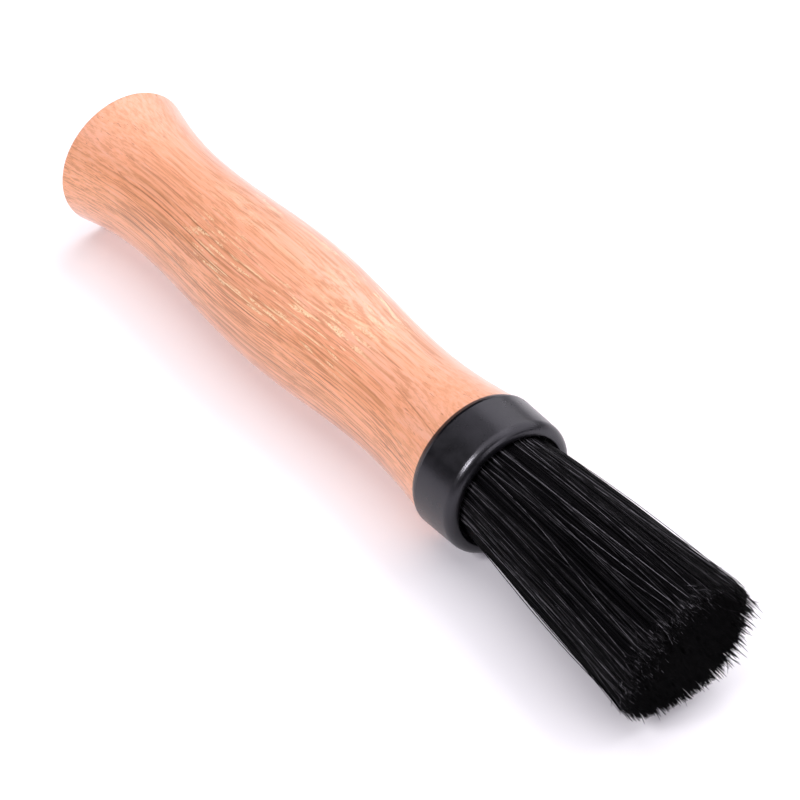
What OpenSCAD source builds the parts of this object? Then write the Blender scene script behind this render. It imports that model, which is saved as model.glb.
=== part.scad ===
// Round duster brush with a turned wooden handle, a black collar and a stiff black tuft.
// The brush lies on its side: +X runs from the butt to the bristle tips, +Z is up, and
// the origin is under the middle of its length, on the surface that it lies on.

/* [Handle] */
// Length of the turned handle, from the butt to the ferrule
handle_len = 114.7; // [105:0.1:125]
// Diameter of the flared butt, which the brush lies on
butt_d = 29.4; // [28.6:0.1:30.4]
// Diameter of the waist behind the palm swell
waist_d = 24; // [21:0.1:26]
// Diameter of the palm swell
belly_d = 27.6; // [26:0.1:28.4]
// Diameter of the neck
neck_d = 23.8; // [22.4:0.1:25.4]
// Diameter of the shoulder that meets the ferrule
shoulder_d = 27.9; // [27.4:0.1:28.2]
// Distance from the butt to the waist
waist_at = 22; // [16:0.5:28]
// Distance from the butt to the fullest part of the palm swell
belly_at = 58; // [50:0.5:66]
// Distance from the butt to the neck
neck_at = 94; // [88:0.5:98]
// Radius of the eased edge around the butt
butt_round = 0.6; // [0.3:0.1:1.5]

/* [Ferrule] */
// Outer diameter of the ferrule at its back edge
ferrule_d = 28.6; // [28.2:0.1:28.6]
// Outer diameter of the ferrule at its front, behind the rounded edge
ferrule_front_d = 28.2; // [28.2:0.1:28.6]
// Length of the ferrule
ferrule_len = 10.4; // [9.8:0.1:12]
// Radius of its rounded front edge
ferrule_round = 2; // [1:0.1:2]
// Radius of the eased edge around its mouth
mouth_round = 0.5; // [0.2:0.1:0.5]
// Diameter of its mouth, where the bristles come out
mouth_d = 23.2; // [23:0.1:23.2]

/* [Tenon and socket] */
// Diameter of the tenon that carries the ferrule
tenon_d = 26; // [25.4:0.1:26]
// Length of the tenon
tenon_len = 6.8; // [6:0.1:7.4]
// Diameter of the socket bored into the handle
socket_d = 19.2; // [18:0.1:19.2]
// Depth of the socket from the face of the tenon
socket_depth = 19.5; // [17:0.1:21]
// Length of the flared mouth of the socket
socket_flare_len = 8.9; // [7:0.1:9]
// Diameter of the flared mouth at the tenon's face
socket_mouth_d = 22.8; // [22:0.1:23]

/* [Bristle knot] */
// Length of the bristles in front of the ferrule
tuft_len = 52.9; // [40:0.1:60]
// Diameter of the bristles at the ferrule's mouth
root_d = 22.6; // [21.6:0.1:22.8]
// Diameter of the tuft at its cut end
tip_d = 29.8; // [29.6:0.1:32]
// Share of the tuft's diameter that the inner bristles fill
core_share = 0.62; // [0.4:0.01:0.8]
// Length of the cup that holds the bristle roots
cup_len = 10.2; // [8:0.1:10.2]
// Wall of the cup
cup_wall = 0.5; // [0.4:0.1:0.8]
// Floor of the cup
cup_floor = 0.8; // [0.5:0.1:1.5]
// Depth of resin in the cup
resin_depth = 4; // [2:0.1:6]
// Thickness of the glue around the cup
glue = 0.15; // [0.1:0.05:0.2]
// Turns of thread around the bristles in front of the cup
thread_turns = 6; // [3:1:6]
// Diameter of the thread
thread_d = 0.5; // [0.4:0.05:0.5]

/* [Hidden] */
$fn = 96;

// Radii, and places along the brush from the butt
butt_r = butt_d / 2;
waist_r = waist_d / 2;
belly_r = belly_d / 2;
neck_r = neck_d / 2;
shoulder_r = shoulder_d / 2;
ferrule_r = ferrule_d / 2;
ferrule_front_r = ferrule_front_d / 2;
mouth_r = mouth_d / 2;
tenon_r = tenon_d / 2;
socket_r = socket_d / 2;
root_r = root_d / 2;
tip_r = tip_d / 2;
tenon_end = handle_len + tenon_len;
socket_floor = tenon_end - socket_depth;
flare_start = tenon_end - socket_flare_len;
ferrule_front = handle_len + ferrule_len;
brush_len = ferrule_front + tuft_len;
cup_start = socket_floor + glue;
cup_r = socket_r - glue;
cup_end = cup_start + cup_len;
knot_r = cup_r - cup_wall;
resin_start = cup_start + cup_floor;
resin_end = resin_start + resin_depth;
thread_pitch = 0.9 * thread_d;
binding_start = cup_end + 0.4;
binding_len = (thread_turns - 1) * thread_pitch + thread_d;
binding_end = binding_start + binding_len;

// The shoulder's flare is a little fuller than a parabola
shoulder_curve = 1.8;
// Straight pieces along the handle's outline, and around each rounded edge
outline_steps = 64;
round_steps = 10;
// Thickness of the glue inside the ferrule, and of the thread's sizing
film = 0.1;
sizing = 0.2;
// How far a cutting shape runs past what it cuts
past = 1;

// Points along an arc about [cx, cy], from one angle to another
function arc(cx, cy, r, from, to) =
    [for (i = [0:round_steps])
        let (a = from + (to - from) * i / round_steps)
        [cx + r * cos(a), cy + r * sin(a)]];

// A smooth rise or fall between two radii, flat at both ends
function eased(a, b, t) = a + (b - a) * (1 - cos(180 * t)) / 2;

// Radius of the handle at a distance from the butt
function handle_r(s) =
    s < waist_at
        ? waist_r + (butt_r - waist_r) * pow((waist_at - s) / (waist_at - butt_round), 2)
    : s < belly_at
        ? eased(waist_r, belly_r, (s - waist_at) / (belly_at - waist_at))
    : s < neck_at
        ? eased(belly_r, neck_r, (s - belly_at) / (neck_at - belly_at))
    : neck_r + (shoulder_r - neck_r)
        * pow((s - neck_at) / (handle_len - neck_at), shoulder_curve);

handle_outline = [for (i = [0:outline_steps])
    let (s = butt_round + (handle_len - butt_round) * i / outline_steps)
    [handle_r(s), s]];

// Stands a shape made along Z onto the brush's own axis
module along_brush() {
    translate([-brush_len / 2, 0, butt_r])
        rotate([0, 90, 0])
            children();
}

// A plain disc or rod between two places along the brush
module rod(from, to, r) {
    translate([0, 0, from])
        cylinder(r = r, h = to - from);
}

// A tapered rod between two places along the brush
module taper(from, to, r_from, r_to) {
    translate([0, 0, from])
        cylinder(r1 = r_from, r2 = r_to, h = to - from);
}

// The bristles' outer form, at a share of its full radius: straight through the cup
// and the binding, wider to the ferrule's mouth, then spreading to the cut end
module bundle(share) {
    rotate_extrude()
        polygon([
            [0, resin_end],
            [share * knot_r, resin_end],
            [share * knot_r, binding_end],
            [share * root_r, ferrule_front],
            [share * tip_r, brush_len],
            [0, brush_len]
        ]);
}

// Everything below the surface that the brush lies on
module under_surface() {
    translate([-brush_len, -brush_len, -brush_len])
        cube([2 * brush_len, 2 * brush_len, brush_len]);
}

// Turned handle, with the tenon for the ferrule and the socket for the knot
module handle() {
    color("sandybrown")
        along_brush()
            difference() {
                union() {
                    rotate_extrude()
                        polygon(concat(
                            [[0, 0]],
                            arc(butt_r - butt_round, butt_round, butt_round, -90, 0),
                            [for (i = [1:outline_steps]) handle_outline[i]],
                            [[0, handle_len]]
                        ));
                    rod(handle_len - past, tenon_end, tenon_r);
                }
                rod(socket_floor, tenon_end + past, socket_r);
                taper(flare_start, tenon_end, socket_r, socket_mouth_d / 2);
            }
}

// Collar: a skirt over the tenon and a rounded web around the mouth
module ferrule() {
    color("#2b2c31")
        along_brush()
            rotate_extrude()
                polygon(concat(
                    [[tenon_r + film, handle_len], [ferrule_r, handle_len]],
                    arc(ferrule_front_r - ferrule_round, ferrule_front - ferrule_round,
                        ferrule_round, 0, 90),
                    arc(mouth_r + mouth_round, ferrule_front - mouth_round,
                        mouth_round, 90, 180),
                    [[mouth_r, tenon_end], [tenon_r + film, tenon_end]]
                ));
}

// Film of glue between the tenon and the ferrule
module ferrule_adhesive() {
    color("khaki")
        along_brush()
            difference() {
                rod(handle_len, tenon_end, tenon_r + film);
                rod(handle_len - past, tenon_end + past, tenon_r);
            }
}

// Thin cup around the roots of the bristles
module knot_cup() {
    color("silver")
        along_brush()
            difference() {
                rod(cup_start, cup_end, cup_r);
                rod(resin_start, cup_end + past, knot_r);
            }
}

// Glue that holds the cup in the socket
module cup_adhesive() {
    color("khaki")
        along_brush()
            difference() {
                rod(socket_floor, cup_end, socket_r);
                rod(cup_start, cup_end + past, cup_r);
            }
}

// Resin cast over the ends of the bristles
module resin_plug() {
    color("saddlebrown")
        along_brush()
            rod(resin_start, resin_end, knot_r);
}

// Thread wound around the bristles in front of the cup
module root_binding() {
    color("ivory")
        along_brush()
            rotate_extrude()
                difference() {
                    union() {
                        translate([0, binding_start])
                            square([knot_r + sizing, binding_len]);
                        for (i = [0:thread_turns - 1])
                            translate([knot_r + thread_d / 2,
                                       binding_start + thread_d / 2 + i * thread_pitch])
                                circle(d = thread_d);
                    }
                    translate([0, binding_start - past])
                        square([knot_r, binding_len + 2 * past]);
                }
}

// Inner bristles
module bristle_core() {
    color("#17171a")
        along_brush()
            bundle(core_share);
}

// Outer bristles, resting flat on the surface under the brush
module bristle_outer() {
    color("#1d1d21")
        difference() {
            along_brush()
                difference() {
                    bundle(1);
                    bundle(core_share);
                }
            under_surface();
        }
}

handle();
ferrule();
ferrule_adhesive();
knot_cup();
cup_adhesive();
resin_plug();
root_binding();
bristle_core();
bristle_outer();
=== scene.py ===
"""The looks of the round duster brush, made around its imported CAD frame, in metres.

The brush lies along X with its butt at -X and its bristle tips at +X, on the floor at z = 0.
"""

import math

import bpy
import numpy as np
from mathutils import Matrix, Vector


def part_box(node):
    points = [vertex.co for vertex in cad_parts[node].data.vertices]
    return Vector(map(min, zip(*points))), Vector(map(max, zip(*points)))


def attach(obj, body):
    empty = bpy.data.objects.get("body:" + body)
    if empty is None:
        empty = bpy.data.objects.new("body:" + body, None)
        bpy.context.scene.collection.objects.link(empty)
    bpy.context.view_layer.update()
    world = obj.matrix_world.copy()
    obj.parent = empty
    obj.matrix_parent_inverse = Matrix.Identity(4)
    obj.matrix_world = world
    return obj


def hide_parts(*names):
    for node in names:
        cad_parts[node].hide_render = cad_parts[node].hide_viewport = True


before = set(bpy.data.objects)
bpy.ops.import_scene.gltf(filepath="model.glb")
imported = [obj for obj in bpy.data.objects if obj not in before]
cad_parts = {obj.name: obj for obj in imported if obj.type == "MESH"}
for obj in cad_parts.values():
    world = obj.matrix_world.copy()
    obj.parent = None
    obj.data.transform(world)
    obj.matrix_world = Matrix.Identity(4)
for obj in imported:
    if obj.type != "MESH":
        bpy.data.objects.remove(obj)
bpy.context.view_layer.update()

MM = 0.001

# ---------------------------------------------------------------- places taken from the frame

handle_low, handle_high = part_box("handle")
ferrule_low, ferrule_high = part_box("ferrule")
_, binding_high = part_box("root_binding")
_, resin_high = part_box("resin_plug")
_, tuft_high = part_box("bristle_outer")
_, core_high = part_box("bristle_core")

AXIS_Z = (handle_low.z + handle_high.z) / 2
BUTT_X = handle_low.x
FERRULE_BACK_X = ferrule_low.x
FERRULE_FRONT_X = ferrule_high.x
ROOT_X = resin_high.x
BINDING_X = binding_high.x
TIP_X = tuft_high.x
KNOT_R = resin_high.y
TIP_R = tuft_high.y
CORE_SHARE = core_high.y / TIP_R

# ---------------------------------------------------------------- camera

CAMERA_AIM = Vector((3.7 * MM, -0.7 * MM, AXIS_Z))
CAMERA_AZIMUTH = 52.94
CAMERA_ELEVATION = 40.76
CAMERA_DISTANCE = 0.7418
CAMERA_LENS = 180
CAMERA_SENSOR = 36


def direction(azimuth, elevation):
    """The unit vector towards a place. Azimuth 0 is the -Y side and 90 the +X side."""
    turn = math.radians(azimuth)
    tilt = math.radians(elevation)
    level = math.cos(tilt)
    return Vector((math.sin(turn) * level, -math.cos(turn) * level, math.sin(tilt)))


def make_camera():
    """The scene's camera, on the -Y and +X side of the brush and above it."""
    data = bpy.data.cameras.new("camera")
    data.lens = CAMERA_LENS
    data.sensor_width = CAMERA_SENSOR
    camera = bpy.data.objects.new("camera", data)
    back = direction(CAMERA_AZIMUTH, CAMERA_ELEVATION)
    camera.location = CAMERA_AIM + back * CAMERA_DISTANCE
    camera.rotation_euler = (-back).to_track_quat("-Z", "Y").to_euler()
    bpy.context.scene.collection.objects.link(camera)
    bpy.context.scene.camera = camera


# ---------------------------------------------------------------- light and floor

# name: azimuth, elevation, distance, width, height, radiance, colour
SOFTBOXES = {
    "back_softbox": (175, 42, 1.15, 2.2, 1.2, 1.92, (0.97, 0.945, 1.0)),
    "top_softbox": (180, 89, 1.25, 1.3, 1.3, 1.97, (0.98, 0.95, 1.0)),
    "back_feather": (-126, 42, 1.15, 0.55, 1.2, 0.30, (0.97, 0.945, 1.0)),
    "front_softbox": (6, 44, 1.1, 0.25, 0.25, 28.0, (0.98, 0.95, 1.0)),
    "left_softbox": (-80, 60, 1.3, 0.8, 0.8, 0.25, (0.95, 0.93, 1.0)),
    "tip_softbox": (100, 25, 0.45, 0.2, 0.2, 3.2, (0.98, 0.95, 1.0)),
    "collar_softbox": (5, 46, 1.1, 0.33, 0.33, 34.0, (1.0, 0.99, 0.98)),
}
# This one lights the collar alone, for the soft spot on its rounded edge.
COLLAR_LIGHT = "collar_softbox"
# What the camera sees behind everything, and the faint light that comes from all around.
BACKDROP = (1.0, 0.99, 1.0)
AMBIENT = (0.022, 0.020, 0.027)
# The floor glows a little near the brush, and more far off, where the softboxes do not reach.
FLOOR_GLOW = 0.15
FAR_FLOOR_GLOW = 1.1
FLOOR_GLOW_COLOUR = (0.93, 0.85, 1.0)
# Between these distances from the origin, in millimetres, one glow turns into the other.
GLOW_FROM = 250
GLOW_TO = 900
# Half the floor's side.
FLOOR_HALF = 12.0


def make_softbox(name, azimuth, elevation, distance, width, height, radiance, colour):
    """An area light that faces the brush. Its energy follows from its radiance and its size."""
    data = bpy.data.lights.new(name, "AREA")
    data.shape = "RECTANGLE"
    data.size = width
    data.size_y = height
    data.energy = radiance * math.pi * width * height
    data.color = colour
    light = bpy.data.objects.new(name, data)
    back = direction(azimuth, elevation)
    light.location = Vector((0, 0, AXIS_Z)) + back * distance
    light.rotation_euler = (-back).to_track_quat("-Z", "Y").to_euler()
    bpy.context.scene.collection.objects.link(light)
    if name == COLLAR_LIGHT:
        lit = bpy.data.collections.new("lit_by_collar_softbox")
        lit.objects.link(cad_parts["ferrule"])
        light.light_linking.receiver_collection = lit


def make_world():
    """A pale backdrop where the camera sees it, and nearly dark as a source of light."""
    world = bpy.data.worlds.new("studio")
    world.use_nodes = True
    tree = world.node_tree
    background = tree.nodes["Background"]
    seen = tree.nodes.new("ShaderNodeLightPath")
    mix = tree.nodes.new("ShaderNodeMix")
    mix.data_type = "RGBA"
    mix.inputs[6].default_value = (*AMBIENT, 1)
    mix.inputs[7].default_value = (*BACKDROP, 1)
    tree.links.new(seen.outputs["Is Camera Ray"], mix.inputs["Factor"])
    tree.links.new(mix.outputs[2], background.inputs["Color"])
    bpy.context.scene.world = world
    bpy.context.scene.view_settings.view_transform = "Standard"


def make_floor(material):
    """A wide flat sheet that the brush lies on."""
    mesh = bpy.data.meshes.new("floor")
    half = FLOOR_HALF
    corners = [(-half, -half, 0), (half, -half, 0), (half, half, 0), (-half, half, 0)]
    mesh.from_pydata(corners, [], [(0, 1, 2, 3)])
    mesh.materials.append(material)
    floor = bpy.data.objects.new("floor", mesh)
    bpy.context.scene.collection.objects.link(floor)


# ---------------------------------------------------------------- material nodes


class Paint:
    """A material whose nodes are added by short calls. Places are in millimetres."""

    def __init__(self, name):
        self.material = bpy.data.materials.new(name)
        self.material.use_nodes = True
        self.tree = self.material.node_tree
        self.shader = self.tree.nodes["Principled BSDF"]
        coordinates = self.tree.nodes.new("ShaderNodeTexCoord")
        self.place = self.stretched(coordinates.outputs["Object"], (1 / MM,) * 3)
        split = self.tree.nodes.new("ShaderNodeSeparateXYZ")
        self.tree.links.new(self.place, split.inputs[0])
        self.x, self.y, self.z = split.outputs

    def put(self, socket, value):
        """Links a socket to an output, or sets it to a number or a colour."""
        if isinstance(value, bpy.types.NodeSocket):
            self.tree.links.new(value, socket)
        else:
            socket.default_value = value

    def set(self, **values):
        """Sets the shader's sockets, such as base_color."""
        for name, value in values.items():
            title = " ".join(word.capitalize() for word in name.split("_"))
            self.put(self.shader.inputs[title.replace("Ior", "IOR")], value)

    def stretched(self, vector, scale, move=(0, 0, 0)):
        """A place scaled along X, Y and Z, and then moved."""
        node = self.tree.nodes.new("ShaderNodeMapping")
        node.inputs["Location"].default_value = move
        node.inputs["Scale"].default_value = scale
        self.tree.links.new(vector, node.inputs["Vector"])
        return node.outputs["Vector"]

    def noise(self, scale, detail=2.0, rough=0.5, bend=0.0, move=(0, 0, 0), vector=None):
        """Noise from 0 to 1, with scale the number of features per millimetre along X, Y and Z."""
        node = self.tree.nodes.new("ShaderNodeTexNoise")
        node.inputs["Scale"].default_value = 1.0
        node.inputs["Detail"].default_value = detail
        node.inputs["Roughness"].default_value = rough
        node.inputs["Distortion"].default_value = bend
        self.put(node.inputs["Vector"], self.stretched(vector or self.place, scale, move))
        return node.outputs["Fac"]

    def combined(self, x, y, z):
        """A place made of three values."""
        node = self.tree.nodes.new("ShaderNodeCombineXYZ")
        for socket, value in zip(node.inputs, (x, y, z)):
            self.put(socket, value)
        return node.outputs[0]

    def attribute(self, name):
        """A value that the mesh stores at its vertices."""
        node = self.tree.nodes.new("ShaderNodeAttribute")
        node.attribute_name = name
        return node.outputs["Fac"]

    def math(self, operation, a, b=0.0, c=0.0):
        """The result of one of the Math node's operations."""
        node = self.tree.nodes.new("ShaderNodeMath")
        node.operation = operation
        for socket, value in zip(node.inputs, (a, b, c)):
            self.put(socket, value)
        return node.outputs[0]

    def times(self, first, *others):
        """The product of two or more values."""
        product = first
        for value in others:
            product = self.math("MULTIPLY", product, value)
        return product

    def fade(self, value, start, end, low=0.0, high=1.0):
        """A smooth change from low to high as value goes from start to end."""
        node = self.tree.nodes.new("ShaderNodeMapRange")
        node.interpolation_type = "SMOOTHSTEP"
        for name, v in (("Value", value), ("From Min", start), ("From Max", end),
                        ("To Min", low), ("To Max", high)):
            self.put(node.inputs[name], v)
        return node.outputs["Result"]

    def mix(self, share, a, b):
        """Colour a, changed to colour b by share."""
        node = self.tree.nodes.new("ShaderNodeMix")
        node.data_type = "RGBA"
        self.put(node.inputs["Factor"], share)
        for socket, colour in zip((node.inputs[6], node.inputs[7]), (a, b)):
            self.put(socket, (*colour, 1) if isinstance(colour, tuple) else colour)
        return node.outputs[2]

    def line(self, value, level, thick, thin):
        """1 where value is within thin of level, fading to 0 where it is thick away."""
        return self.fade(self.math("ABSOLUTE", self.math("SUBTRACT", value, level)), thick, thin)

    def bump(self, height, distance, strength=1.0, under=None):
        """A bump of height from 0 to 1, times distance in millimetres."""
        node = self.tree.nodes.new("ShaderNodeBump")
        node.inputs["Distance"].default_value = distance * MM
        node.inputs["Strength"].default_value = strength
        self.put(node.inputs["Height"], height)
        if under is not None:
            self.put(node.inputs["Normal"], under)
        return node.outputs["Normal"]


# ---------------------------------------------------------------- oak

PEACH = (0.85, 0.41, 0.25)
PALE_PEACH = (0.85, 0.475, 0.35)
# Painted light bounced up from the floor, below the axis.
PAINTED_FLOOR_BOUNCE = (1.0, 0.46, 0.24)
SALMON = (0.86, 0.375, 0.21)
# Painted warm bounce light, low on the flanks.
PAINTED_WARM_BOUNCE = (0.95, 0.41, 0.18)
TAN_BAND = (0.64, 0.29, 0.13)
BROWN_BAND = (0.58, 0.24, 0.11)
PORE = (0.32, 0.115, 0.045)
# The pale colour of ray flecks, also used for highlights painted beside the grain's dark lines.
FLECK_AND_HIGHLIGHT = (0.95, 0.70, 0.43)
# Painted shade: a dark line against the collar's back edge, and the wood inside the collar.
PAINTED_SEAM_SHADE = (0.015, 0.010, 0.009)
PAINTED_INNER_SHADE = (0.018, 0.014, 0.012)

# Millimetres between growth rings, and between the finer lines that run with them.
RING_SPACING = 1.3
LINE_SPACING = 0.6
# How far the rings drift up and down, in millimetres, and how many rings they wobble by.
RING_DRIFT = 7.0
RING_WOBBLE = 1.6
LINE_WOBBLE = 2.0
# The grain is quiet at the butt and livens up between these distances from it.
BUTT_LIVENS = (4, 30)
# The fibre fades between these places along the neck.
NECK_FADES = (6, 22)
# Ray flecks, and the painted highlights beside the dark lines, appear and disappear between these
# places, before and after the palm swell.
FLECKS_BEGIN = (-60, -46)
FLECKS_END = (-8, 6)
# The painted shade line at the collar starts and is full at these distances behind the collar's
# back edge.
SEAM_SHADE_FROM = 1.15
SEAM_SHADE_FULL = 0.85
# The wood inside the collar is painted darker, as shade in the recess, starting and full at these
# distances inside the collar.
INNER_SHADE_FROM = 1
INNER_SHADE_FULL = 4


class Wood:
    """Where each point lies in the oak, whose growth rings are nearly level and drift a little."""

    def __init__(self, p):
        butt = BUTT_X / MM
        self.along = p.x
        # Height above the brush's axis, and the same height carried along the drifting rings.
        self.height = p.math("SUBTRACT", p.z, AXIS_Z / MM)
        wander = p.noise((0.009, 0.05, 0.05), detail=1, move=(4, 0, 0))
        self.ring = p.math("ADD", self.height, p.times(p.math("SUBTRACT", wander, 0.5), RING_DRIFT))
        self.level = p.combined(self.along, p.y, self.ring)
        # How far each point is from one ring's edge, at 0, to the next, at 1.
        wobble = p.noise((0.010, 0.06, 0.22), detail=1, move=(7, 3, 3), vector=self.level)
        count = p.math("MULTIPLY_ADD", self.ring, 1 / RING_SPACING, p.times(wobble, RING_WOBBLE))
        self.phase = p.math("FRACT", count)
        # Shares that grow down the flanks, low on the flanks, and away from the butt.
        self.flank = p.fade(self.height, 13.0, 7.0, 0.3, 1.0)
        self.low = p.fade(self.height, 8.0, 2.0)
        self.lively = p.fade(self.along, butt + BUTT_LIVENS[0], butt + BUTT_LIVENS[1], 0.3, 1.0)


def oak_ground(p, wood):
    """Broad colour: salmon and pale drifts, painted warm bounce light low on the flanks, painted
    floor bounce below the axis, and soft tan streaks that end at a ring's edge.
    """
    broad = p.noise((0.012, 0.14, 0.14), detail=3, move=(3, 1, 7))
    cloud = p.noise((0.025, 0.30, 0.30), detail=3, bend=0.3, move=(9, 4, 2))
    streak = p.noise((0.017, 0.10, 0.50), detail=2, move=(6, 8, 1), vector=wood.level)
    colour = p.mix(p.fade(broad, 0.36, 0.64, 0.0, 0.8), PEACH, SALMON)
    colour = p.mix(p.fade(cloud, 0.48, 0.80, 0.0, 0.5), colour, PALE_PEACH)
    # The lower flanks are painted warmer, and the wood below the axis paler peach, as painted light
    # bounced from the floor.
    colour = p.mix(p.fade(wood.height, 11.0, 2.0, 0.0, 0.65), colour, PAINTED_WARM_BOUNCE)
    colour = p.mix(p.fade(wood.height, -1.0, -8.0, 0.0, 0.9), colour, PAINTED_FLOOR_BOUNCE)
    late = p.fade(wood.phase, 0.35, 1.0, 0.35, 1.0)
    tan = p.times(p.fade(streak, 0.48, 0.62, 0.0, 0.85), wood.flank, late, wood.lively)
    return p.mix(tan, colour, TAN_BAND)


def oak_fibre(p, wood, fibre, colour):
    """Fine fibre, stronger on the flanks and weaker at the butt and past the neck."""
    dark = p.times(
        p.fade(fibre, 0.47, 0.60),
        p.fade(wood.flank, 0.3, 1.0, 0.72, 0.90),
        p.fade(wood.along, *NECK_FADES, 1.0, 0.5),
        p.fade(wood.lively, 0.3, 1.0, 0.65, 1.0),
        p.fade(wood.low, 0.0, 1.0, 1.0, 1.5),
    )
    colour = p.mix(dark, colour, BROWN_BAND)
    return p.mix(p.fade(fibre, 0.48, 0.36, 0.0, 0.4), colour, PALE_PEACH)


def oak_lines(p, wood):
    """1 along thin lines where the rings' edges meet the flanks, broken along their length."""
    long_mask = p.noise((0.028, 0.3, 0.8), detail=2, move=(2, 6, 8), vector=wood.level)
    long_line = p.line(p.math("PINGPONG", wood.phase, 0.5), 0.0, 0.085, 0.035)
    long_line = p.times(long_line, p.fade(long_mask, 0.46, 0.60))

    wobble = p.noise((0.018, 0.1, 0.4), detail=1, move=(1, 9, 5), vector=wood.level)
    count = p.math("MULTIPLY_ADD", wood.ring, 1 / LINE_SPACING, p.times(wobble, LINE_WOBBLE))
    short_mask = p.noise((0.055, 0.5, 1.1), detail=2, move=(8, 2, 4), vector=wood.level)
    short_line = p.line(p.math("PINGPONG", count, 0.5), 0.0, 0.16, 0.06)
    short_line = p.times(short_line, p.fade(short_mask, 0.52, 0.62, 0.0, 0.6))

    steep = p.fade(wood.height, 12.2, 9.5)
    return p.times(p.math("MAXIMUM", long_line, short_line), steep, wood.lively)


def oak_pores(p, wood):
    """1 in fine dashes in the early wood, which cluster along the rings."""
    early = p.times(p.fade(wood.phase, 0.0, 0.08), p.fade(wood.phase, 0.6, 0.2))
    pores = p.noise((0.07, 3.4, 3.4), detail=2, rough=0.5, move=(1, 5, 3))
    cut = p.fade(early, 0.0, 1.0, 0.70, 0.61)
    return p.fade(p.math("SUBTRACT", pores, cut), 0.0, 0.06)


def oak_flecks_and_highlights(p, wood):
    """1 at pale streaks beside the dark lines, painted highlights where the grain catches the
    light, and at small combed ray flecks.
    """
    comb = p.noise((2.2, 3.2, 5.0), detail=2, rough=0.6, bend=0.5, move=(5, 5, 5))
    fleck = p.noise((0.15, 0.95, 1.5), detail=1, move=(2, 9, 4), vector=wood.level)
    glint = p.noise((0.11, 0.5, 0.8), detail=1, move=(4, 1, 6), vector=wood.level)
    flecks = p.times(p.fade(fleck, 0.58, 0.66), p.fade(comb, 0.38, 0.56))
    beside = p.times(p.line(wood.phase, 0.15, 0.10, 0.05), p.fade(glint, 0.48, 0.60))
    streaks = p.times(beside, p.fade(comb, 0.30, 0.50, 0.3, 0.9))
    swell = p.times(p.fade(wood.along, *FLECKS_BEGIN), p.fade(wood.along, *reversed(FLECKS_END)))
    slope = p.times(p.fade(wood.height, 5.2, 7.2), p.fade(wood.height, 13.4, 10.6, 0.25, 1.0))
    return p.times(p.math("MAXIMUM", flecks, streaks), swell, slope)


def oak():
    """Satin oak: nearly level growth rings, long fine pores, pale ray flecks, painted highlights
    beside the lines, painted bounce light and shade, and a clear coat.
    """
    p = Paint("satin_oak")
    wood = Wood(p)
    fibre = p.noise((0.05, 1.5, 2.9), detail=4, rough=0.70, vector=wood.level)
    edge = oak_lines(p, wood)
    pore = oak_pores(p, wood)
    flecks_and_highlights = oak_flecks_and_highlights(p, wood)

    colour = oak_fibre(p, wood, fibre, oak_ground(p, wood))
    colour = p.mix(p.times(edge, p.fade(wood.low, 0.0, 1.0, 0.80, 1.0)), colour, PORE)
    colour = p.mix(p.times(pore, 0.5), colour, PORE)
    # Pale ray flecks, and painted highlights beside the dark lines.
    colour = p.mix(p.times(flecks_and_highlights, 0.9), colour, FLECK_AND_HIGHLIGHT)

    # A thin dark line is painted against the collar as shade at its step from the wood, and the
    # wood inside the collar is painted darker as shade.
    seam = FERRULE_BACK_X / MM
    seam_shade = p.fade(wood.along, seam - SEAM_SHADE_FROM, seam - SEAM_SHADE_FULL, 0.0, 0.95)
    inner_shade = p.fade(wood.along, seam + INNER_SHADE_FROM, seam + INNER_SHADE_FULL, 0.0, 0.9)
    colour = p.mix(inner_shade, p.mix(seam_shade, colour, PAINTED_SEAM_SHADE), PAINTED_INNER_SHADE)

    rough = p.math("SUBTRACT", p.fade(fibre, 0.2, 0.8, 0.38, 0.5), p.times(flecks_and_highlights, 0.12))
    grain_bump = p.bump(p.math("SUBTRACT", 1.0, p.math("MAXIMUM", pore, edge)), 0.05, 0.6)
    p.set(base_color=colour, roughness=rough, normal=p.bump(fibre, 0.03, 0.6, under=grain_bump),
          coat_weight=0.9, coat_roughness=0.34, coat_ior=1.42, specular_ior_level=0.2,
          sheen_weight=0.35, sheen_roughness=0.35, sheen_tint=(0.95, 0.92, 1.0, 1.0))
    return p.material


# ---------------------------------------------------------------- the other materials

COLLAR_BLACK = (0.0014, 0.0014, 0.0019)
COLLAR_GREY = (0.0026, 0.0025, 0.0034)
NYLON_BLACK = (0.0024, 0.0022, 0.0028)
# Grey painted on the bristles as highlights.
NYLON_HIGHLIGHT_GREY = (0.175, 0.170, 0.185)
PAPER = (0.90, 0.90, 0.90)
PALE_PAPER = (0.915, 0.915, 0.915)
ALUMINIUM = (0.66, 0.67, 0.69)
PALE_ALUMINIUM = (0.76, 0.77, 0.79)
GLUE = (0.74, 0.65, 0.42)
DEEP_GLUE = (0.62, 0.50, 0.28)
RESIN = (0.40, 0.21, 0.08)
DEEP_RESIN = (0.26, 0.12, 0.04)
THREAD = (0.58, 0.53, 0.42)
PALE_THREAD = (0.78, 0.74, 0.64)

# The collar's back edge rises by this much between these places past it, in millimetres.
EASE_HEIGHT = 0.25
EASE_FROM = -0.1
EASE_TO = 0.5
# Distances behind the tips, in millimetres. The grey painted near the bristles' roots as a
# highlight has faded at the first, and the painted highlight at their tips starts and is full at
# the other two.
ROOT_HIGHLIGHT_FADES = 14
TIP_HIGHLIGHT_FROM = 7
TIP_HIGHLIGHT_FULL = 2


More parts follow.
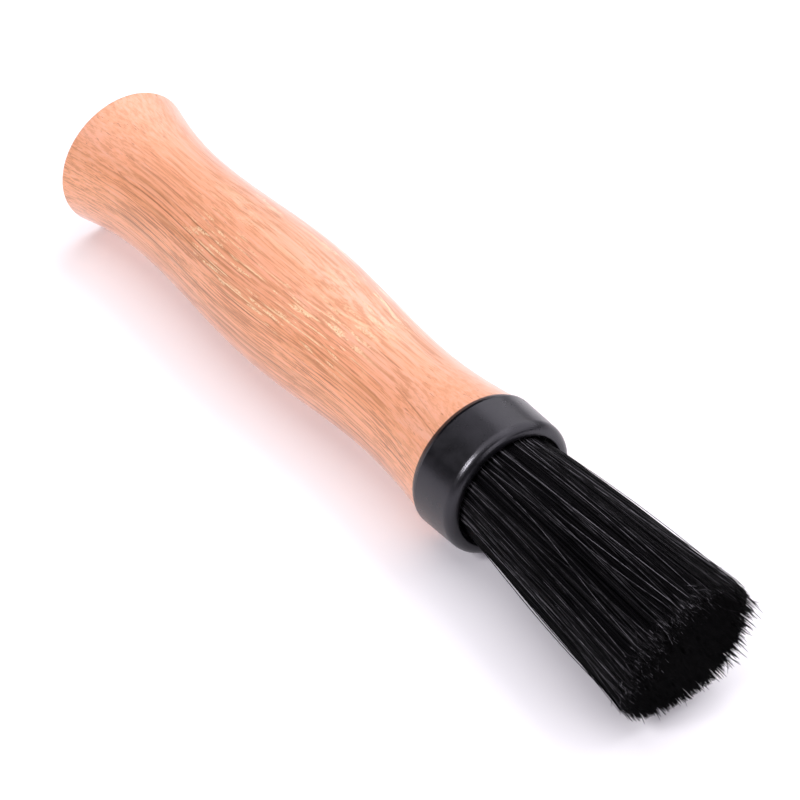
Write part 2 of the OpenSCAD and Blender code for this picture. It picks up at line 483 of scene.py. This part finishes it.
def black_plastic():
    """Satin moulded black for the collar, with a fine moulded texture."""
    p = Paint("satin_black_plastic")
    mottle = p.noise((0.35, 0.35, 0.35), detail=4, rough=0.6)
    grit = p.noise((3.6, 3.6, 3.6), detail=2, rough=0.6)
    # Its back edge is eased, so a thin dark line runs around it.
    back = FERRULE_BACK_X / MM
    eased = p.bump(p.fade(p.x, back + EASE_FROM, back + EASE_TO), EASE_HEIGHT)
    p.set(base_color=p.mix(p.fade(mottle, 0.35, 0.7), COLLAR_BLACK, COLLAR_GREY),
          roughness=p.fade(mottle, 0.3, 0.75, 0.27, 0.33), ior=1.51,
          normal=p.bump(grit, 0.030, 0.7, under=eased), specular_tint=(0.92, 0.90, 1.0, 1.0))
    return p.material


def nylon():
    """Black nylon filament, with grey painted on as highlights: each bristle has its own shade, and
    its ends look greyer.
    """
    p = Paint("black_nylon")
    tip = TIP_X / MM
    shade = p.attribute("shade")
    patch = p.noise((0.15, 2.6, 2.6), detail=2)
    root_highlight = p.fade(p.x, tip - ROOT_HIGHLIGHT_FADES, FERRULE_FRONT_X / MM, 0.44, 0.62)
    tip_highlight = p.fade(p.x, tip - TIP_HIGHLIGHT_FROM, tip - TIP_HIGHLIGHT_FULL, 0.0, 0.8)
    ends = p.math("MAXIMUM", root_highlight, tip_highlight)
    # Most bristles are painted only faintly grey, and the few with the highest shades stand out as
    # painted highlights.
    faint = p.times(p.math("POWER", shade, 3.0), 0.075)
    pale = p.math("ADD", faint, p.math("POWER", shade, 22.0))
    painted_highlight = p.times(pale, p.fade(patch, 0.38, 0.60, 0.3, 1.0), ends)
    rough = p.math("ADD", p.times(shade, 0.10), p.fade(patch, 0.3, 0.7, 0.30, 0.38))
    p.set(base_color=p.mix(painted_highlight, NYLON_BLACK, NYLON_HIGHLIGHT_GREY), roughness=rough, specular_ior_level=0.07)
    return p.material


def floor_paper():
    """Pale matt paper. It glows most far from the brush, where little light reaches it."""
    p = Paint("floor_paper")
    tone = p.noise((0.004, 0.004, 0.004), detail=2)
    away = p.math("SQRT", p.math("MULTIPLY_ADD", p.x, p.x, p.times(p.y, p.y)))
    glow = p.fade(away, GLOW_FROM, GLOW_TO, FLOOR_GLOW, FAR_FLOOR_GLOW)
    p.set(base_color=p.mix(tone, PAPER, PALE_PAPER), roughness=0.9, specular_ior_level=0.1,
          emission_color=(*FLOOR_GLOW_COLOUR, 1), emission_strength=glow)
    return p.material


def drawn_aluminium():
    """Drawn aluminium with fine lines along X and a faintly uneven sheen."""
    p = Paint("drawn_aluminium")
    draw = p.noise((0.08, 6, 6), detail=3, rough=0.6)
    dull = p.noise((0.4, 0.4, 0.4), detail=3)
    p.set(base_color=p.mix(p.fade(dull, 0.3, 0.7), ALUMINIUM, PALE_ALUMINIUM), metallic=1.0,
          roughness=p.fade(draw, 0.3, 0.7, 0.28, 0.42), normal=p.bump(draw, 0.01, 0.4))
    return p.material


def cured_glue(name, pale, deep):
    """Cured glue or resin with small bubbles and a clouded colour."""
    p = Paint(name)
    cloud = p.noise((0.5, 0.5, 0.5), detail=3)
    bubbles = p.noise((3.5, 3.5, 3.5), detail=1)
    p.set(base_color=p.mix(p.fade(cloud, 0.3, 0.7), pale, deep),
          roughness=p.fade(cloud, 0.3, 0.7, 0.18, 0.34),
          normal=p.bump(p.fade(bubbles, 0.66, 0.74), 0.05, 0.6))
    return p.material


def waxed_thread():
    """Pale waxed thread with a fine twist."""
    p = Paint("waxed_thread")
    twist = p.noise((2.2, 7, 7), detail=3, bend=0.6)
    p.set(base_color=p.mix(p.fade(twist, 0.3, 0.7), THREAD, PALE_THREAD), roughness=0.7,
          sheen_weight=0.3, normal=p.bump(twist, 0.06, 0.7))
    return p.material


# ---------------------------------------------------------------- bristles

# A bristle's clock angle is 0 at the top of the tuft, and 90 degrees towards +Y. Its share is
# its distance from the tuft's axis, from 0 in the middle to 1 on the outside.
BRISTLES = 9600
BRISTLE_SEED = 7
BRISTLE_R = 0.082 * MM
# The outermost bristle's share, and the spread of clock angles about an even pattern.
OUTERMOST_SHARE = 0.995
CLOCK_SPREAD = 0.01
# Bristles start this far in front of the resin.
ROOT_GAP = 0.2 * MM
# The darkest bristles have this many times the radius, and the palest this much less of it.
# The last two points of each are narrowed.
FULL_SIZE = 1.10
PALE_THINNING = 0.46
TIP_TAPER = (0.85, 0.45)
# The bundle's radius inside the collar and at its mouth, and how far it sits towards +Y there.
THROAT_X = FERRULE_FRONT_X - 3.6 * MM
THROAT_R = 11.25 * MM
MOUTH_R = 11.20 * MM
MOUTH_SHIFT = 0.2 * MM
# The tips lean this far towards -Y, and lift this far off the floor. The bend grows from the
# collar to the tips by this power, and each bristle's own lean by the other.
LEAN = -2.55 * MM
RISE = 1.5 * MM
BEND_POWER = 1.5
OWN_POWER = 1.6
# The lowest that a bristle's middle may be, and how softly those near the floor are pressed.
LOWEST_Z = 1.3 * BRISTLE_R
FLOOR_GIVE = 2.0 * MM
# The cut end slants: bristles towards this clock angle are longer, and those away are shorter.
NEAR_CLOCK = math.radians(-35)
SLANT = 1.7 * MM
# Those underneath are worn shorter still.
UNDER_CLOCK = math.radians(-150)
WEAR = 1.5 * MM
# How far bristles fall short on average, how much more on the near side and less on the far side.
MEAN_SHORT = 0.75 * MM
NEAR_SHORT = 0.40 * MM
FAR_SHORT = 0.35 * MM
# On the far side they are also cut by one length and grow by a random one, of this mean.
FAR_CLOCK = math.radians(80)
FAR_CUT = 1.5 * MM
FAR_GROWTH = 0.9 * MM
# Before the slant and the wear, full length is this far past the CAD tuft's end, and no bristle
# is shorter than that by more than the second value.
OVERSHOOT = 0.8 * MM
MOST_SHORT = 5.0 * MM
# Bristles hang together in this many small locks around the tuft, which lean and end together.
LOCKS = 190
LOCK_LEAN = 0.20 * MM
LOCK_SHORT = 0.3 * MM
# The spread of each bristle's own lean and bow.
OWN_LEAN = 0.30 * MM
OWN_BOW = 0.16 * MM
# The spread of the curl at the tips, the length that curls, and the share of bristles that do.
# The others bend only by this share of it.
CURL = 0.9 * MM
CURL_LENGTH = 3.6 * MM
CURL_SHARE = 0.45
NEARLY_STRAIGHT = 0.15
# The largest share of bristles with a pale tip, which is a painted highlight, and the shades of
# pale tips and of strays, whose paleness is a painted highlight too. A shade of 0 is black, and
# about 1 is the palest.
PALE_TIPS = 0.22
PALE_SHADES = (0.90, 1.05)
STRAY_SHADES = (0.93, 1.05)
# Where the points lie along each bristle, closer together at the tip.
CORE_STEPS = (0.0, 0.3, 0.6, 0.85, 0.96, 1.0)
MIDDLE_STEPS = (0.0, 0.22, 0.45, 0.68, 0.86, 0.94, 0.975, 1.0)
SKIN_STEPS = (0.0, 0.16, 0.30, 0.44, 0.58, 0.72, 0.83, 0.90, 0.94, 0.965, 0.985, 1.0)
# Bristles past this share of the radius are the tuft's skin, with rounder tubes than the rest.
SKIN_SHARE = 0.88
SKIN_SIDES = 5
INNER_SIDES = 3
# Strays start close to the tuft's skin, on the side between these clock angles in degrees.
STRAYS = 60
STRAY_SEED = 11
STRAY_POINTS = 24
STRAY_SHARE = 0.985
STRAY_CLOCKS = (-100, 30)
STRAY_CURL_SHARE = 0.2
# The spread in radians of their turn and wave around the tuft, and the most they lift off it.
STRAY_TURN = 0.11
STRAY_WAVE = 0.018
STRAY_LIFT = 0.03
# The first strays are dark. They stand off the tuft's lower edge, and meet it again at their tips.
EDGE_CLOCKS = (-122, -129)
EDGE_LIFTS = (0.09, 0.06)
EDGE_SHADE = 0.2


def bundle_radius(x):
    """The radius of the whole bundle at places along X."""
    stations = [ROOT_X, BINDING_X, THROAT_X, FERRULE_FRONT_X, TIP_X]
    radii = [KNOT_R, KNOT_R, THROAT_R, MOUTH_R, TIP_R]
    return np.interp(x, stations, radii)


def near(clock, place):
    """1 at one clock angle, falling to 0 a quarter turn away from it."""
    return np.clip(np.cos(clock - place), 0, 1)


def tube_faces(count, points, sides):
    """The corners of every face of closed tubes, and how many corners each face has."""
    ring = np.arange(sides)
    step = np.arange(points - 1)[:, None] * sides
    turned = (ring + 1) % sides
    one = np.stack([step + ring, step + turned, step + sides + turned, step + sides + ring], -1)
    first = (np.arange(count) * points * sides)[:, None, None]
    quads = (one.reshape(-1, 4)[None] + first).reshape(-1, 4)
    back_cap = (ring[::-1][None, None] + first).reshape(-1, sides)
    front_cap = (ring[None, None] + (points - 1) * sides + first).reshape(-1, sides)
    corners = np.concatenate([quads.reshape(-1), back_cap.reshape(-1), front_cap.reshape(-1)])
    totals = np.concatenate([np.full(len(quads), 4), np.full(2 * count, sides)])
    return corners, totals


def tube_mesh(name, paths, radii, sides, shade, material):
    """One piece of closed tubes. paths is filament by point by 3; radii and shade lack the 3."""
    count, points, _ = paths.shape
    along = np.gradient(paths, axis=1)
    along /= np.linalg.norm(along, axis=2, keepdims=True)
    across = np.cross(along, [0.0, 0.0, 1.0])
    across /= np.linalg.norm(across, axis=2, keepdims=True)
    other = np.cross(along, across)
    turn = 2 * math.pi * np.arange(sides) / sides
    rings = across[:, :, None] * np.cos(turn)[:, None] + other[:, :, None] * np.sin(turn)[:, None]
    vertices = (paths[:, :, None] + rings * radii[:, :, None, None]).reshape(-1, 3)
    corners, totals = tube_faces(count, points, sides)

    mesh = bpy.data.meshes.new(name)
    mesh.vertices.add(len(vertices))
    mesh.vertices.foreach_set("co", vertices.astype(np.float32).reshape(-1))
    mesh.loops.add(len(corners))
    mesh.loops.foreach_set("vertex_index", corners.astype(np.int32))
    mesh.polygons.add(len(totals))
    starts = np.concatenate([[0], np.cumsum(totals)[:-1]])
    mesh.polygons.foreach_set("loop_start", starts.astype(np.int32))
    mesh.polygons.foreach_set("use_smooth", np.ones(len(totals), bool))
    mesh.update(calc_edges=True)
    mesh.validate()
    tone = mesh.attributes.new("shade", "FLOAT", "POINT")
    tone.data.foreach_set("value", np.repeat(shade.reshape(-1), sides).astype(np.float32))
    mesh.materials.append(material)
    piece = bpy.data.objects.new(name, mesh)
    bpy.context.scene.collection.objects.link(piece)
    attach(piece, "root")
    return piece


def bristle_ends(rng, share, clock, facing, lock_short):
    """Where bristles end along X: a slanting cut, worn underneath, with uneven lengths."""
    under = near(clock, UNDER_CLOCK) ** 2 * share
    far = near(clock, FAR_CLOCK) * share
    short = rng.exponential(MEAN_SHORT + NEAR_SHORT * facing - FAR_SHORT * far)
    short = short + np.abs(lock_short) * LOCK_SHORT
    short = short + far * (FAR_CUT - rng.exponential(FAR_GROWTH, len(share)))
    slant = share * np.cos(clock - NEAR_CLOCK) * SLANT
    return TIP_X + OVERSHOOT + slant - under * WEAR - np.minimum(short, MOST_SHORT)


def bristle_paths(rng, share, clock, steps, curl_share):
    """Paths for bristles at a share of the bundle's radius and a clock angle.

    steps are the places of the points along each bristle, from 0 at the root to 1 at the tip.
    """
    count = len(share)
    start = ROOT_X + ROOT_GAP
    facing = near(clock, NEAR_CLOCK) ** 1.3 * share
    lock = (clock % (2 * math.pi) / (2 * math.pi) * LOCKS).astype(int)
    lock_short, lock_y, lock_z = rng.normal(0, 1, (3, LOCKS + 1))[:, lock]
    ends = bristle_ends(rng, share, clock, facing, lock_short)
    x = start + (ends - start)[:, None] * np.asarray(steps)[None]
    radius = bundle_radius(x) * share[:, None]
    # 0 inside the collar, 1 at the CAD tuft's end, and a little more past it.
    free = np.clip((x - FERRULE_FRONT_X) / (TIP_X - FERRULE_FRONT_X), 0, 1.1)

    # Each bristle leans and bows its own way along Y and Z, and some curl at their tips.
    lean = rng.normal(0, OWN_LEAN, (count, 2)) + LOCK_LEAN * np.stack([lock_y, lock_z], 1)
    bow = rng.normal(0, OWN_BOW, (count, 2))
    curls = rng.random(count) < curl_share * np.clip(facing * 2, 0.15, 1)
    curl = rng.normal(0, CURL, (count, 2)) * np.where(curls, 1.0, NEARLY_STRAIGHT)[:, None]
    arch = np.sin(math.pi * np.minimum(free, 1))
    hook = np.clip(1 - (ends[:, None] - x) / CURL_LENGTH, 0, 1) ** 2
    aside = np.interp(x, [BINDING_X, THROAT_X, FERRULE_FRONT_X, TIP_X], [0, 1, 1, 0])
    bend = free ** BEND_POWER
    own_y, own_z = (free ** OWN_POWER * lean.T[:, :, None] + arch * bow.T[:, :, None]
                    + hook * curl.T[:, :, None])
    y = radius * np.sin(clock)[:, None] + aside * MOUTH_SHIFT + own_y + bend * LEAN
    z = radius * np.cos(clock)[:, None] + own_z + bend * RISE + AXIS_Z
    z = LOWEST_Z + FLOOR_GIVE * np.logaddexp(0, (z - LOWEST_Z) / FLOOR_GIVE)
    return np.stack([x, y, z], 2)


def bristle_shades(rng, share, clock, points):
    """Shades at each point, where pale is a painted highlight: most bristles are dark, a few are
    pale, and some tips are.
    """
    count = len(share)
    shade = rng.random(count) ** 1.6 * np.interp(share, [0.6, 0.95], [0.5, 1.0])
    chance = np.interp(share, [0.4, 0.8], [0.0, PALE_TIPS]) * near(clock, NEAR_CLOCK)
    tips = rng.random(count) < chance
    pale = np.maximum(shade, rng.uniform(*PALE_SHADES, count))
    shades = np.repeat(shade[:, None], points, 1)
    shades[:, -2:] = np.where(tips, pale, shade)[:, None]
    return shades


def bristle_radii(shades):
    """Radii along bristles, which taper at the tip. The palest are also the finest."""
    size = FULL_SIZE - PALE_THINNING * shades.min(axis=1, keepdims=True)
    taper = np.ones(shades.shape[1])
    taper[-2:] = TIP_TAPER
    return BRISTLE_R * size * taper[None]


def make_bristles(material):
    """The whole tuft, as four pieces of separate bristles spread evenly over its section."""
    rng = np.random.default_rng(BRISTLE_SEED)
    share = np.sqrt((np.arange(BRISTLES) + 0.5) / BRISTLES) * OUTERMOST_SHARE
    golden = math.pi * (3 - math.sqrt(5))
    clock = np.arange(BRISTLES) * golden + rng.normal(0, CLOCK_SPREAD, BRISTLES)
    upper = np.cos(clock) >= 0
    inner = share < CORE_SHARE
    skin = share > SKIN_SHARE
    groups = {
        "inner_bristles": (inner, "bristle_core", CORE_STEPS, INNER_SIDES),
        "middle_bristles": (~inner & ~skin, "bristle_outer", MIDDLE_STEPS, INNER_SIDES),
        "skin_bristles_upper": (skin & upper, "bristle_outer", SKIN_STEPS, SKIN_SIDES),
        "skin_bristles_lower": (skin & ~upper, "bristle_outer", SKIN_STEPS, SKIN_SIDES),
    }
    for name, (chosen, node, steps, sides) in groups.items():
        paths = bristle_paths(rng, share[chosen], clock[chosen], steps, CURL_SHARE)
        shades = bristle_shades(rng, share[chosen], clock[chosen], len(steps))
        piece = tube_mesh(name, paths, bristle_radii(shades), sides, shades, material)
        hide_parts(node)


def make_strays(material):
    """Loose bristles that wander across the outside of the tuft."""
    rng = np.random.default_rng(STRAY_SEED)
    steps = np.linspace(0, 1, STRAY_POINTS)
    edge = slice(len(EDGE_CLOCKS))
    clock = np.radians(rng.uniform(*STRAY_CLOCKS, STRAYS))
    clock[edge] = np.radians(EDGE_CLOCKS)
    paths = bristle_paths(rng, np.full(STRAYS, STRAY_SHARE), clock, steps, STRAY_CURL_SHARE)
    free = np.clip((paths[:, :, 0] - FERRULE_FRONT_X) / (TIP_X - FERRULE_FRONT_X), 0, 1)
    turn = rng.normal(0, STRAY_TURN, STRAYS)
    turn[edge] = 0.0
    wave = rng.normal(0, STRAY_WAVE, STRAYS)[:, None] * np.sin(2 * math.pi * free)
    rise = STRAY_LIFT * rng.random(STRAYS)
    lift = 1 + rise[:, None] * np.sin(math.pi / 2 * free)
    lift[edge] = 1 + np.array(EDGE_LIFTS)[:, None] * np.sin(math.pi * free[edge])
    y, z = paths[:, :, 1], paths[:, :, 2] - AXIS_Z
    angle = np.arctan2(y, z) + turn[:, None] * free + wave
    out = np.hypot(y, z) * lift
    z = np.maximum(AXIS_Z + out * np.cos(angle), LOWEST_Z)
    paths = np.stack([paths[:, :, 0], out * np.sin(angle), z], 2)
    # Most strays are painted pale, as highlights.
    shade = rng.uniform(*STRAY_SHADES, STRAYS)
    shade[edge] = EDGE_SHADE
    shades = np.repeat(shade[:, None], len(steps), 1)
    radii = bristle_radii(shades)
    piece = tube_mesh("stray_bristles", paths, radii, SKIN_SIDES, shades, material)
    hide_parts("bristle_outer")


# ---------------------------------------------------------------- the scene

# Edges sharper than this stay crisp.
SMOOTH_ANGLE = math.radians(28)


def finish_node(name, material):
    """Gives a carried-over CAD node its material and smooth shading."""
    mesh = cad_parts[name].data
    mesh.materials.clear()
    mesh.materials.append(material)
    mesh.polygons.foreach_set("use_smooth", np.ones(len(mesh.polygons), bool))
    mesh.set_sharp_from_angle(angle=SMOOTH_ANGLE)


make_camera()
make_world()
for light_name, settings in SOFTBOXES.items():
    make_softbox(light_name, *settings)
make_floor(floor_paper())

finish_node("handle", oak())
finish_node("ferrule", black_plastic())
clear_glue = cured_glue("clear_glue", GLUE, DEEP_GLUE)
finish_node("ferrule_adhesive", clear_glue)
finish_node("cup_adhesive", clear_glue)
finish_node("knot_cup", drawn_aluminium())
finish_node("resin_plug", cured_glue("amber_resin", RESIN, DEEP_RESIN))
finish_node("root_binding", waxed_thread())

black_nylon = nylon()
make_bristles(black_nylon)
make_strays(black_nylon)
